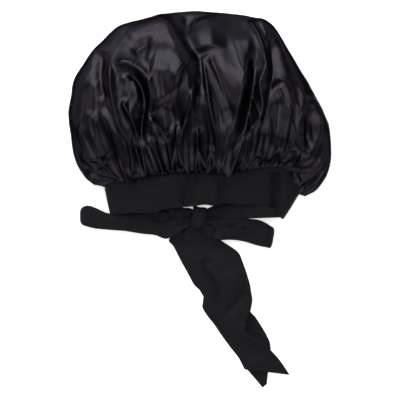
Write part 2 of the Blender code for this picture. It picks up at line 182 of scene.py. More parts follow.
# Softboxes: name, place, width, height and the setting that holds the power. All of them face the target. The camera
# looks straight down, and the picture is as wide as its setting says at the picture level over the floor.
SOFTBOXES = (
    ("key_softbox", (0.0, 0.4, 4.6), 3.1, 3.1, "key_power"),
    ("far_softbox", (-1.0, 2.4, 1.7), 2.8, 2.4, "far_power"),
    ("near_softbox", (0.2, -2.6, 1.2), 3.4, 1.6, "near_power"),
    ("right_softbox", (2.3, 0.1, 1.6), 1.0, 1.0, "side_power"),
    ("left_softbox", (-2.3, 0.1, 1.6), 1.0, 1.0, "side_power"),
)
LIGHT_TARGET = (0, 0.05, 0.03)
CAMERA_PLACE = (0.0001, 0.0004)
PICTURE_LEVEL = 0.004
FLOOR_SIZE = 4.0

# Where the middle of the seam's side line lies in the frame
BAND_LOW, BAND_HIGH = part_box("band")
START = np.array(((BAND_LOW[0] + BAND_HIGH[0]) / 2 - SEAM_SHIFT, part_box("crown")[1][1] - CROWN_LENGTH, 0.0))


def table(kind, *rows):
    """The rows of a table, whose numbers are given in thousandths."""
    return [kind(*(part / 1000 for part in row)) for row in rows]


# Crown sections from the seam to the far edge. left and right are shares of half the width, the *_along columns and
# middle are shares of the length, and height is a share of the crown's height.
CrownSection = namedtuple("CrownSection", "rise left left_along right right_along middle height")
CROWN_SECTIONS = table(
    CrownSection,
    (50, 810, 20, 800, -45, 120, 580),
    (110, 885, 65, 890, 0, 160, 730),
    (190, 955, 150, 970, 90, 230, 860),
    (280, 995, 275, 1000, 200, 320, 950),
    (370, 1005, 400, 975, 350, 420, 1000),
    (460, 985, 530, 900, 485, 515, 1000),
    (550, 950, 635, 815, 610, 610, 960),
    (630, 860, 735, 715, 730, 695, 880),
    (710, 755, 830, 625, 840, 780, 760),
    (790, 635, 905, 525, 930, 860, 610),
    (870, 430, 955, 380, 972, 925, 450),
    (940, 210, 990, 180, 985, 975, 310),
    (1000, 25, 1000, -25, 1000, 1000, 190),
)

# The seam and the free rim across the upper layer, as shares of their arch
LinePoint = namedtuple("LinePoint", "across arch")
SEAM_LINE = table(
    LinePoint,
    (-1000, 0), (-880, 500), (-700, 500), (-500, 720), (-300, 950), (0, 1000), (250, 1000), (500, 1290),
    (750, 1500), (900, 1250), (1000, 0),
)
RIM_LINE = table(
    LinePoint,
    (-1000, 0), (-800, 170), (-500, 310), (-350, 700), (-50, 950), (90, 1150), (200, 1080), (300, 1330),
    (500, 1300), (750, 1330), (870, 1000), (1000, 0),
)

# Folds follow a path across the cloth. rise is a share of the fold rise, below zero in a hollow. left and right are
# the widths to each side of the path, as shares of half the crown's width, and roundness is the power of the slope
# there. fade_in and fade_out are the shares of the path over which the fold rises and sinks again. The path's points
# are shares of half the crown's width and of its length, from where the seam's side line crosses the middle.
Fold = namedtuple("Fold", "name rise left right roundness fade_in fade_out path")


def fold_table(*rows):
    """The folds of a table, whose numbers are given in thousandths."""
    folds = []
    for name, *numbers in rows:
        shape, path = numbers[:6], numbers[6:]
        folds.append(Fold(name, *(part / 1000 for part in shape), np.array(path) / 1000))
    return folds


CROWN_FOLDS = fold_table(
    ("broad_shelf", 750, 245, 107, 1300, 400, 350,
     (-201, 298), (-140, 433), (-94, 546), (-102, 647), (-171, 760), (-247, 861), (-201, 1019)),
    ("shelf_foot", -520, 54, 61, 1700, 200, 100, (-79, 501), (13, 591), (-2, 715), (-102, 839), (-102, 985)),
    ("centre_ridge", 620, 27, 38, 1100, 0, 150, (128, 118), (120, 276), (74, 433), (44, 591), (13, 748)),
    ("centre_valley", -550, 35, 130, 1300, 100, 250, (70, 740), (140, 610), (205, 470), (262, 343)),
    ("centre_panel_edge", 380, 54, 92, 1400, 250, 150, (250, 366), (166, 523), (89, 647), (21, 748)),
    ("top_middle_pillow", 420, 92, 115, 3000, 100, 200, (36, 760), (28, 861), (-2, 974)),
    ("right_shelf", 540, 153, 92, 1300, 500, 200, (227, 366), (281, 546), (349, 726), (357, 906)),
    ("long_right_ridge", 660, 31, 34, 1100, 0, 80,
     (204, 101), (342, 293), (457, 422), (441, 580), (487, 670), (441, 805), (357, 962)),
    ("inner_right_ridge", 560, 38, 46, 1200, 0, 300, (197, 101), (174, 180), (242, 332), (304, 523), (342, 726)),
    ("right_valley", -620, 54, 46, 1500, 200, 200, (288, 163), (365, 411), (403, 591), (411, 782)),
    ("right_of_ridge_valley", -720, 42, 54, 1400, 200, 150, (472, 298), (510, 478), (556, 658), (533, 872)),
    ("sliver_ridge", 290, 31, 46, 1300, 200, 100, (518, 771), (487, 861), (441, 951)),
    ("pouch_left_edge", 460, 38, 54, 1400, 50, 150, (472, 163), (487, 287), (518, 478), (579, 613)),
    ("pouch_right_edge", 500, 54, 31, 1300, 50, 100, (632, 135), (609, 219), (663, 400), (655, 523), (579, 619)),
    ("pouch_dip", -250, 46, 46, 2000, 200, 200, (571, 219), (579, 388), (594, 512)),
    ("outer_pouch_ridge", 420, 46, 46, 1400, 100, 200, (709, 146), (732, 332), (762, 501), (739, 636)),
    ("outer_ridge", 380, 38, 46, 1300, 150, 200, (762, 163), (885, 287), (869, 433), (785, 546)),
    ("outer_dip", -290, 38, 38, 2000, 200, 200, (801, 219), (816, 343), (808, 456)),
    ("low_right_dip", -330, 38, 38, 2000, 200, 200, (678, 219), (709, 191), (755, 174)),
    ("low_right_roll", 250, 31, 46, 1300, 100, 200, (747, 62), (854, 107), (938, 174)),
    ("lobe_gap", -750, 17, 18, 1600, 0, 100, (755, -6), (854, 39), (931, 90), (992, 146)),
    ("middle_ridge_a", 600, 27, 34, 1100, 0, 150, (-94, 107), (-155, 203), (-125, 343), (-71, 478), (-41, 591)),
    ("middle_ridge_b", 460, 20, 23, 1100, 0, 200, (28, 146), (-18, 242), (-18, 343)),
    ("middle_ridge_c", 460, 23, 23, 1100, 0, 200, (-209, 118), (-193, 231), (-163, 355)),
    ("middle_ridge_d", 420, 23, 23, 1200, 0, 200, (67, 107), (97, 163), (74, 242)),
    ("hook_arc", 560, 46, 31, 1200, 100, 100,
     (-232, 259), (-308, 343), (-385, 405), (-362, 501), (-392, 602), (-461, 653), (-553, 687), (-660, 675)),
    ("hook_valley", -660, 40, 40, 1500, 150, 150, (-453, 219), (-438, 355), (-415, 478), (-469, 591), (-568, 636)),
    ("hook_foot", 290, 31, 38, 1200, 150, 100, (-385, 231), (-408, 310), (-392, 400)),
    ("inner_hook", 290, 31, 23, 1200, 150, 150, (-507, 394), (-507, 439), (-469, 512), (-507, 597), (-629, 608)),
    ("left_ridge_a", 600, 31, 31, 1100, 0, 150, (-507, 118), (-522, 242), (-606, 366), (-660, 540), (-675, 737)),
    ("left_ridge_b", 600, 27, 27, 1100, 0, 120, (-408, 101), (-438, 231), (-507, 377), (-591, 501)),
    ("left_ridge_c", 450, 23, 23, 1100, 0, 200, (-301, 118), (-323, 180), (-392, 293)),
    ("left_facet_ridge", 520, 38, 38, 1300, 0, 150, (-553, 79), (-591, 231), (-691, 383), (-790, 439)),
    ("left_facet_outer", 330, 38, 46, 1300, 100, 150, (-721, 163), (-821, 332), (-790, 433)),
    ("left_outer_ridge", 290, 38, 38, 1400, 100, 200, (-775, 152), (-843, 231), (-920, 377)),
    ("low_left_roll", 330, 31, 38, 1400, 100, 200, (-721, 118), (-790, 180), (-920, 163)),
    ("low_left_crease", -290, 23, 23, 1600, 100, 200, (-736, 62), (-813, 107), (-889, 118)),
    ("left_upper_valley", -460, 38, 38, 1600, 200, 100, (-713, 478), (-759, 613), (-752, 771)),
    ("top_left_facet", 380, 76, 110, 1800, 200, 200, (-561, 816), (-415, 884), (-216, 962)),
    ("facet_crease", -360, 27, 46, 1400, 200, 400, (-515, 737), (-440, 785), (-350, 822)),
    ("second_facet", 330, 76, 76, 3000, 100, 150, (-125, 625), (-247, 709), (-415, 743)),
    ("panel_break", 500, 60, 160, 1200, 150, 150, (-385, 658), (-247, 630), (-120, 590)),
    ("panel_hollow", -450, 90, 90, 1600, 200, 200, (-290, 500), (-210, 420), (-150, 340)),
    ("facet_fleck", 100, 28, 28, 1800, 300, 300, (-278, 478), (-247, 445)),
)
BAND_FOLDS = fold_table(
    ("right_dent", -580, 31, 29, 1250, 50, 50, (556, -186), (564, -51), (571, 107)),
    ("right_dent_lip", 70, 31, 38, 1800, 50, 50, (617, -186), (625, -51), (632, 96)),
    ("middle_dent", -420, 24, 34, 1300, 50, 300, (154, -96), (158, -6), (154, 96)),
    ("slanting_dent", -520, 45, 50, 1400, 100, 300, (-125, -96), (-79, 17), (-18, 118)),
    ("left_slack", -80, 54, 54, 2000, 200, 200, (-461, -96), (-415, -6), (-385, 62)),
)
TAIL_FOLDS = fold_table(
    ("twist_hollow", -370, 26, 34, 1200, 150, 400,
     (135, -414), (44, -416), (36, -461), (89, -512), (120, -580), (120, -726)),
    ("twist_bulge", 330, 84, 69, 2000, 300, 300, (219, -456), (258, -523), (288, -591)),
    ("twist_dip", -270, 32, 38, 1700, 200, 350, (349, -557), (296, -630), (227, -681), (166, -709)),
    ("edge_roll", 170, 23, 23, 1600, 200, 150, (365, -456), (380, -568), (372, -670), (342, -748)),
    ("fold_roll", 220, 23, 31, 1600, 100, 250, (346, -748), (357, -799), (426, -839), (533, -895)),
    ("lower_hollow", -170, 38, 46, 2000, 200, 300, (327, -816), (380, -884), (441, -929), (472, -974)),
    ("middle_wave", 130, 46, 46, 2000, 300, 300, (166, -715), (242, -794), (304, -878)),
    ("end_wave", 60, 38, 38, 2000, 300, 300, (395, -996), (472, -962), (533, -974)),
    ("small_wrinkle", 90, 9, 11, 1400, 200, 200, (47, -337), (74, -334), (101, -335)),
    ("top_crease", -130, 18, 18, 1500, 100, 400, (-109, -186), (-140, -242), (-148, -321)),
    ("top_crease_right", -100, 20, 20, 1500, 100, 400, (-18, -186), (13, -253), (89, -332)),
)
LEFT_LOOP_FOLDS = fold_table(
    ("lump_edge", -210, 11, 17, 1300, 150, 150,
     (-392, -113), (-362, -152), (-301, -183), (-247, -172), (-201, -141), (-186, -124)),
    ("lump", 120, 46, 46, 2000, 300, 300, (-323, -135), (-285, -146), (-239, -129)),
    ("lump_crease", -120, 11, 11, 1500, 100, 200, (-362, -110), (-285, -115), (-216, -135)),
    ("root_crease", -220, 15, 17, 1500, 100, 100, (-56, -129), (-79, -169), (-75, -214)),
    ("root_crease_outer", -150, 17, 17, 1500, 100, 200, (-140, -118), (-121, -163), (-140, -225)),
    ("upper_roll", -100, 15, 18, 1600, 200, 300, (-369, -135), (-492, -135), (-629, -141)),
    ("long_wave", 100, 38, 38, 2000, 300, 300, (-385, -197), (-553, -180), (-767, -163)),
)
RIGHT_LOOP_FOLDS = fold_table(
    ("root_crease", 270, 18, 38, 1300, 100, 250, (163, -267), (250, -242), (357, -214)),
    ("root_hollow", -280, 24, 34, 1600, 200, 300, (105, -219), (197, -222), (304, -205)),
    ("root_oval", -120, 11, 11, 1500, 100, 100, (21, -242), (44, -208), (97, -211), (120, -242), (82, -270)),
    ("lower_crease", -150, 14, 18, 1500, 100, 300, (166, -269), (288, -267), (426, -268)),
    ("end_lift", 120, 31, 31, 1800, 200, 200, (518, -208), (502, -265), (518, -310)),
)

# Tie tails from the knot to the cut ends, measured along the tail and across it from its straight centre line. along
# columns are shares of the tail's length, left and right of the tie's width, lifts of the tie's fold rise. The steps
# number the sections.
TailSection = namedtuple("TailSection", "left_along left right_along right lift_left lift_middle lift_right",
                         defaults=(0, 0, 0))
TailStep = namedtuple("TailStep", ("step", *TailSection._fields))
FRONT_TAIL = table(
    TailSection,
    (6, -92, 29, 176, 480, 550, 480),
    (25, -336, 77, 189, 380, 460, 380),
    (41, -603, 137, 318, 220, 340, 220),
    (64, -771, 205, 459, 120, 260, 100),
    (99, -739, 258, 597, 30, 140, 50),
    (151, -728, 309, 706, 100, 240, 100),
    (194, -726, 368, 697, 160, 400, 160),
    (284, -705, 485, 627, 200, 540, 260),
    (357, -693, 549, 544, 220, 560, 380),
    (406, -621, 587, 488, 240, 540, 460),
    (442, -603, 617, 405, 220, 520, 480),
    (473, -681, 649, 284, 180, 480, 480),
    (503, -759, 683, 122, 100, 420, 520),
    (554, -743, 712, 1, 50, 360, 540),
    (604, -698, 745, -30, 20, 320, 540),
    (659, -654, 780, 37, 20, 300, 500),
    (717, -609, 817, 160, 20, 260, 400),
    (778, -553, 860, 276, 20, 200, 260),
    (845, -498, 910, 345, 0, 100, 100),
    (901, -494, 979, 431, 0, 80, 40),
    (938, -489, 1083, 495, 0, 60, 0),
)
BACK_TAIL = table(
    TailSection,
    (17, -173, 40, 95), (43, -463, 111, 201), (101, -590, 194, 307), (169, -623, 273, 425), (258, -645, 370, 474),
    (363, -643, 482, 430), (470, -617, 577, 339), (546, -697, 648, 306), (620, -684, 690, 362),
    (703, -636, 753, 396), (782, -576, 811, 415), (855, -505, 859, 409), (910, -480, 903, 341),
    (955, -426, 961, 214), (1015, -357, 1017, 15), (1080, -284, 1073, -144),
)

# Bow loops from the knot outwards. along is a share of the loop's length, upper and lower of the loop's width from
# the knot's middle, lift of the knot's height, and gap of the space between the loop's two layers.
LoopSection = namedtuple("LoopSection", "along upper lower lift gap")
LEFT_LOOP = table(
    LoopSection,
    (0, 220, -310, 440, 500), (80, 400, -370, 360, 420), (130, 420, -480, 310, 420), (200, 460, -720, 280, 450),
    (285, 430, -885, 270, 550), (380, 400, -735, 280, 700), (490, 360, -680, 300, 800), (630, 290, -570, 300, 850),
    (690, 220, -540, 280, 900), (750, 170, -520, 200, 950), (800, 200, -500, 120, 1000), (900, 420, -450, 30, 950),
    (960, 500, -380, 0, 900), (1000, 420, -300, 0, 850),
)
RIGHT_LOOP = table(
    LoopSection,
    (0, 100, -360, 460, 500), (80, -20, -600, 420, 450), (160, -120, -840, 380, 550), (300, -90, -940, 340, 700),
    (420, -20, -930, 290, 850), (530, -20, -950, 180, 1000), (670, -50, -1030, 80, 1000),
    (800, -100, -1150, 20, 1000), (900, -220, -1220, 0, 950), (1000, -440, -1270, 0, 850),
)

# Straps from the band's side to the knot. Each strip is folded lengthwise: run is the share of the way to the knot,
# its two edges and fold are offsets from the knot's middle as shares of the loop's width, and low and high are the
# heights of its two layers as shares of the knot's height.
StrapSection = namedtuple("StrapSection", "run low_edge high_edge fold low high")
LEFT_STRAP = table(
    StrapSection,
    (340, 160, 160, -20, 60, 200), (600, 280, 280, -60, 60, 200), (800, 340, 340, -100, 60, 200),
    (1000, 280, 280, 0, 80, 240),
)
RIGHT_STRAP = table(
    StrapSection,
    (120, 160, 400, 20, 60, 1100), (280, 440, 620, 0, 60, 1050), (500, 560, 660, -40, 60, 880),
    (660, 560, 640, -100, 60, 640), (740, 460, 520, -170, 80, 500), (840, 340, 360, -200, 100, 420),
    (1000, 260, 280, -100, 140, 420),
)
LEFT_STRAP_START = (math.radians(234), math.radians(196))
RIGHT_STRAP_START = (math.radians(-34), math.radians(30))


class BonnetCrown(PropertyGroup):
    """Sizes of the satin crown."""

    fold_rise: FloatProperty(name="Fold rise", description="Height of the large folds", default=0.0140, unit="LENGTH")
    gather_rise: FloatProperty(name="Gather rise", description="Height of the pleats over the seam", default=0.0052,
                               unit="LENGTH")
    crumple: FloatProperty(name="Crumple", description="Height of the creased facets", default=0.0042, unit="LENGTH")
    gathers: IntProperty(name="Gathers", description="Pleats across the upper layer", default=23)
    wall: FloatProperty(name="Wall", description="Thickness of the lined satin", default=0.0010, unit="LENGTH")


class BonnetBand(PropertyGroup):
    """Sizes of the knit band."""

    wall: FloatProperty(name="Wall", description="Thickness of the doubled knit", default=0.0026, unit="LENGTH")
    swell: FloatProperty(name="Swell", description="How far the band bulges out", default=0.0012, unit="LENGTH")


class BonnetTies(PropertyGroup):
    """Sizes of the ties, straps, loops and knot."""

    wall: FloatProperty(name="Wall", description="Thickness of the doubled knit strip", default=0.0018, unit="LENGTH")
    ripple: FloatProperty(name="Ripple", description="Height of the creases near the knot", default=0.0009,
                          unit="LENGTH")


class BonnetFinish(PropertyGroup):
    """Colours of the two cloths."""

    satin: FloatVectorProperty(name="Satin", description="Colour of the crown", default=(0.0215, 0.0197, 0.0224),
                               subtype="COLOR", size=3, min=0, max=1)
    satin_roughness: FloatProperty(name="Satin roughness", description="How soft the satin's sheen is", default=0.36)
    knit: FloatVectorProperty(name="Knit", description="Colour of the band and ties",
                              default=(0.0028, 0.0027, 0.0034), subtype="COLOR", size=3, min=0, max=1)


class BonnetStage(PropertyGroup):
    """Floor, lights and camera."""

    floor: FloatVectorProperty(name="Floor", description="Colour of the floor", default=(0.93, 0.93, 0.93),
                               subtype="COLOR", size=3, min=0, max=1)
    camera_height: FloatProperty(name="Camera height", description="Camera above the floor", default=3.2,
                                 unit="LENGTH")
    frame_width: FloatProperty(name="Frame width", description="How much floor the picture is wide", default=0.520,
                               unit="LENGTH")
    key_power: FloatProperty(name="Key light", description="Power of the softbox overhead, in watts", default=90.0)
    far_power: FloatProperty(name="Far light", description="Power of the softbox past the crown, in watts",
                             default=97.0)
    near_power: FloatProperty(name="Near light", description="Power of the softbox past the tails, in watts",
                              default=36.0)
    side_power: FloatProperty(name="Side light", description="Power of the softboxes at the sides, in watts",
                              default=8.0)


def ease(share):
    share = np.clip(share, 0.0, 1.0)
    return share * share * (3 - 2 * share)


def column_value(table, key, column, at):
    """A table's column at many places, on a smooth curve through its rows."""
    places = np.array([getattr(row, key) for row in table], dtype=float)
    values = np.array([getattr(row, column) for row in table], dtype=float)
    slopes = np.empty_like(values)
    slopes[1:-1] = (values[2:] - values[:-2]) / (places[2:] - places[:-2])
    slopes[0] = (values[1] - values[0]) / (places[1] - places[0])
    slopes[-1] = (values[-1] - values[-2]) / (places[-1] - places[-2])
    at = np.clip(np.asarray(at, dtype=float), places[0], places[-1])
    i = np.clip(np.searchsorted(places, at, side="right") - 1, 0, len(places) - 2)
    step = places[i + 1] - places[i]
    t = (at - places[i]) / step
    return (
        values[i] * (2 * t**3 - 3 * t**2 + 1)
        + slopes[i] * step * (t**3 - 2 * t**2 + t)
        + values[i + 1] * (3 * t**2 - 2 * t**3)
        + slopes[i + 1] * step * (t**3 - t**2)
    )


def row_values(table, key, at):
    """Every column of a table at many places."""
    kind = type(table[0])
    return kind(**{name: column_value(table, key, name, at) for name in kind._fields})


def wander(places, seed, waves, slowest, fastest):
    """A smooth wandering value from about -1 to 1, the same each time for one seed."""
    chance = np.random.default_rng(seed)
    total = np.zeros_like(places, dtype=float)
    for _ in range(waves):
        total += np.sin(chance.uniform(slowest, fastest) * places + chance.uniform(0, 2 * math.pi))
    return total / math.sqrt(waves)


def creases(x, y, seed, waves, shortest, longest, spread):
    """Flat facets with sharp creases between them, from about -1 to 1, mostly running from the seam to the edge."""
    chance = np.random.default_rng(seed)
    total = np.zeros_like(x)
    for _ in range(waves):
        turn = chance.uniform(-spread, spread)
        length = chance.uniform(shortest, longest)
        across = x * math.cos(turn) + y * math.sin(turn)
        down = y * math.cos(turn) - x * math.sin(turn)
        bend = 0.22 * np.sin(2 * math.pi * (down / (length * chance.uniform(1.6, 3.0)) + chance.uniform()))
        wave = np.sin(2 * math.pi * (across / length + bend + chance.uniform()))
        total += length / longest * np.arcsin(0.998 * wave)
    return total / waves


def smooth_path(points):
    """A smooth curve through a fold's points."""
    if len(points) == 2:
        share = np.linspace(0, 1, PATH_SAMPLES)[:, None]
        return points[0] + (points[1] - points[0]) * share
    padded = np.vstack((2 * points[0] - points[1], points, 2 * points[-1] - points[-2]))
    at = np.linspace(0, len(points) - 1 - 1e-9, PATH_SAMPLES)
    i = at.astype(int)
    t = (at - i)[:, None]
    a, b, c, d = padded[i], padded[i + 1], padded[i + 2], padded[i + 3]
    return 0.5 * (2 * b + (c - a) * t + (2 * a - 5 * b + 4 * c - d) * t**2 + (3 * b - a - 3 * c + d) * t**3)


def fold_height(x, y, folds):
    """How far the folds raise the cloth at each place of the plan, as a share of the fold rise."""
    half = CROWN_WIDTH / 2
    height = np.zeros_like(x)
    for fold in folds:
        path = smooth_path(fold.path) * np.array((half, CROWN_LENGTH)) + START[:2]
        steps = np.diff(path, axis=0)
        lengths = np.linalg.norm(steps, axis=1)
        starts = np.concatenate(((0.0,), np.cumsum(lengths)))
        best = np.full(x.shape, np.inf)
        side = np.zeros_like(x)
        along = np.zeros_like(x)
        for k, (step, length) in enumerate(zip(steps, lengths)):
            across_x, across_y = x - path[k, 0], y - path[k, 1]
            t = np.clip((across_x * step[0] + across_y * step[1]) / length**2, 0, 1)
            off_x, off_y = across_x - t * step[0], across_y - t * step[1]
            distance = off_x**2 + off_y**2
            nearer = distance < best
            best = np.where(nearer, distance, best)
            side = np.where(nearer, step[0] * off_y - step[1] * off_x, side)
            along = np.where(nearer, starts[k] + t * length, along)
        share = along / starts[-1]
        fade = np.ones_like(x)
        if fold.fade_in:
            fade *= ease(share / fold.fade_in)
        if fold.fade_out:
            fade *= ease((1 - share) / fold.fade_out)
        width = np.where(side > 0, fold.left, fold.right) * half
        height += fold.rise * fade * np.exp(-((np.sqrt(best) / width) ** fold.roundness))
    return height


def ring_across(angle):
    side = np.cos(angle)
    return np.sign(side) * np.abs(side) ** SIDE_POWER


def ring_lift(angle, edge, top):
    """The height of the flattened ring: up over the upper layer, down to the floor under the lower one."""
    rise = np.sin(angle)
    over = edge + (top - edge) * np.clip(rise, 0, 1) ** DOME_POWER
    under = np.maximum(0.0, edge * (1 - FLOOR_PRESS * np.clip(-rise, 0, 1) ** FLOOR_POWER))
    return np.where(rise >= 0, over, under)


def seam_arch(angle, across):
    over = column_value(SEAM_LINE, "across", "arch", across)
    return np.where(np.sin(angle) >= 0, over, 1 - np.abs(across) ** UNDER_ARCH_POWER)


def seam_ring(angle):
    across = ring_across(angle)
    x = SEAM_SHIFT + across * SEAM_WIDTH / 2
    y = SEAM_ARCH * seam_arch(angle, across) - across * SEAM_TILT / 2
    return START + np.stack((x, y, ring_lift(angle, BAND_EDGE_LIFT, SEAM_HEIGHT)), axis=-1)


def rim_ring(angle):
    across = ring_across(angle)
    over = column_value(RIM_LINE, "across", "arch", across)
    arch = np.where(np.sin(angle) >= 0, over, UNDER_RIM_ARCH * (1 - np.abs(across) ** UNDER_ARCH_POWER))
    x = RIM_SHIFT + across * RIM_WIDTH / 2
    y = SEAM_ARCH - BAND_DEPTH - RIM_ARCH + RIM_ARCH * arch - across * RIM_TILT / 2
    return START + np.stack((x, y, ring_lift(angle, BAND_EDGE_LIFT, RIM_HEIGHT)), axis=-1)


def ring_angles(u, upper_share):
    """Angles round the ring, closer together on the upper layer and evenly spread across it."""
    lower = -math.pi * u / (1 - upper_share)
    t = np.clip((u - (1 - upper_share)) / upper_share, 0, 1)
    across = 0.5 * -np.cos(math.pi * t) + 0.5 * (2 * t - 1)
    side = np.sign(across) * np.abs(across) ** (1 / SIDE_POWER)
    upper = -2 * math.pi + np.arccos(np.clip(side, -1, 1))
    return np.where(u < 1 - upper_share, lower, upper)


def ring_normals(points):
    """Outward normals of a grid of points that closes on itself across its columns."""
    wrapped = np.concatenate((points[:, -2:-1], points, points[:, 1:2]), axis=1)
    round_it = (wrapped[:, 2:] - wrapped[:, :-2]) / 2
    normals = np.cross(round_it, np.gradient(points, axis=0))
    size = np.linalg.norm(normals, axis=-1, keepdims=True)
    return normals / np.maximum(size, 1e-12)


def finish_mesh(name, mesh, material):
    data = bpy.data.meshes.new(name)
    mesh.to_mesh(data)
    mesh.free()
    data.shade_smooth()
    data.materials.append(material)
    piece = bpy.data.objects.new(name, data)
    bpy.context.scene.collection.objects.link(piece)
    return piece


def cloth_piece(name, grid, place, map_size, material, wall=0.0, offset=0.0, closed=False):
    """A grid of cloth whose points go where place(u, v) says, with its own cloth map in metres."""
    columns, rows = grid
    u, v = np.meshgrid(np.linspace(0, 1, columns + 1), np.linspace(0, 1, rows + 1))
    points = place(u, v)
    mesh = bmesh.new()
    bmesh.ops.create_grid(mesh, x_segments=columns, y_segments=rows, size=0.5)
    cloth_map = mesh.loops.layers.uv.new("Cloth")
    for face in mesh.faces:
        for corner in face.loops:
            at = corner.vert.co
            corner[cloth_map].uv = ((at.x + 0.5) * map_size[0], (at.y + 0.5) * map_size[1])
    for vertex in mesh.verts:
        column, row = round((vertex.co.x + 0.5) * columns), round((vertex.co.y + 0.5) * rows)
        vertex.co = points[row, column]
    if closed:
        bmesh.ops.remove_doubles(mesh, verts=mesh.verts, dist=WELD)
        bmesh.ops.recalc_face_normals(mesh, faces=mesh.faces)
    piece = finish_mesh(name, mesh, material)
    if wall:
        solidify = piece.modifiers.new("Wall", "SOLIDIFY")
        solidify.thickness = wall
        solidify.offset = offset
    return piece


def declare(piece, nodes):
    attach(piece, "root")
    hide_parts(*nodes)


def crown_base(u, v):
    """The crown without its folds, and the angle and share of the way to the far edge of each point."""
    angle = ring_angles(u, CROWN_UPPER_COLUMNS)
    rise = v**CROWN_ROW_POWER
    across = ring_across(angle)
    first = CROWN_SECTIONS[0].rise
    row = row_values(CROWN_SECTIONS, "rise", np.maximum(rise, first))
    share = (across + 1) / 2
    x = -row.left * CROWN_WIDTH / 2 * (1 - share) + row.right * CROWN_WIDTH / 2 * share
    side = (row.left_along * (1 - share) + row.right_along * share) * CROWN_LENGTH
    reach = np.clip(1 - rise / SEAM_LINE_REACH, 0, 1) ** 2
    arch = (1 - np.abs(across) ** CROWN_ARCH_POWER) * (1 - reach) + seam_arch(angle, across) * reach
    top = row.height * (CROWN_HEIGHT - CROWN_SETTLE)
    z = ring_lift(angle, np.minimum(CROWN_EDGE_LIFT, top), top)
    points = START + np.stack((x, side + (row.middle * CROWN_LENGTH - side) * arch, z), axis=-1)
    tucked = seam_ring(angle) + SEAM_TUCK * np.stack((across, np.ones_like(across), np.sin(angle)), axis=-1)
    blend = np.clip(rise / first, 0, 1)[..., None]
    swelling = np.sin(blend * math.pi / 2)
    points = np.where(rise[..., None] < first, tucked + (points - tucked) * (0.5 * blend + 0.5 * swelling), points)
    return points, angle, rise


def crown_surface(sizes):
    """The crown's points, with its large folds, the pleats over the seam and the slack between them."""

    def place(u, v):
        points, angle, rise = crown_base(u, v)
        normals = ring_normals(points)
        x, y = points[..., 0], points[..., 1]
        across = ring_across(angle)
        upper = ease(np.sin(angle) / 0.45)
        under = 1 - ease((np.sin(angle) + 0.15) / 0.3)
        far = ease((1 - rise) / 0.16)
        edge = ease((1 - rise) / 0.08)
        near = ease(rise / 0.035)

        large = fold_height(x, y, CROWN_FOLDS) * sizes.fold_rise * upper * far * near

        turn = np.where(np.sin(angle) >= 0, across, 2 - across)
        phase = math.pi * sizes.gathers * turn + 2.2 * wander(turn * 9, *PLEAT_SWAY)
        phase += 0.4 * np.sin(18 * rise + 9 * turn)
        off_crest = np.abs(np.mod(phase / (2 * math.pi) + 0.5, 1.0) - 0.5)
        crest = np.exp(-((off_crest / CREST_WIDTH) ** 1.2)) - 0.25
        depth = PLEAT_DEPTH + PLEAT_DEPTH * wander(turn * 14, *PLEAT_DEPTHS)
        reach = PLEAT_REACH + PLEAT_REACH_SPREAD * (1 + wander(turn * 17, *PLEAT_REACHES))
        fading = np.exp(-((rise / reach) ** 1.6)) * ease(rise / 0.02)
        tucks = (1 + np.cos(2.3 * phase + 1.0)) / 2
        tight = tucks * np.exp(-((rise / TUCK_REACH) ** 1.5)) * ease(rise / 0.012) * TUCK_RISE
        pleats = sizes.gather_rise * (crest * depth * fading + tight) * (1 - 0.75 * under)

        calm = 0.6 + 0.4 * wander(x * 30 + 22 * y, *CALM_WAVES)
        broad = creases(x, y, *BROAD_FACETS)
        small = creases(x, y, *SMALL_FACETS) * calm * ease((rise - 0.06) / 0.22)
        calm_x, calm_y = ((part - START[i] - CALM_PLACE[i]) / CALM_REACH[i] for i, part in enumerate((x, y)))
        middle = np.exp(-(calm_x**4) - calm_y**4)
        loose = sizes.crumple * (1 - 0.6 * middle) * (broad + 0.15 * small) * (0.6 + 0.4 * upper) * edge * near

        points = points + normals * (large + pleats + loose)[..., None]
        points[..., 2] = np.maximum(points[..., 2], FLOOR_GAP)
        points[-1] = points[-1].mean(axis=0)
        points[:, -1] = points[:, 0]
        return points

    return place


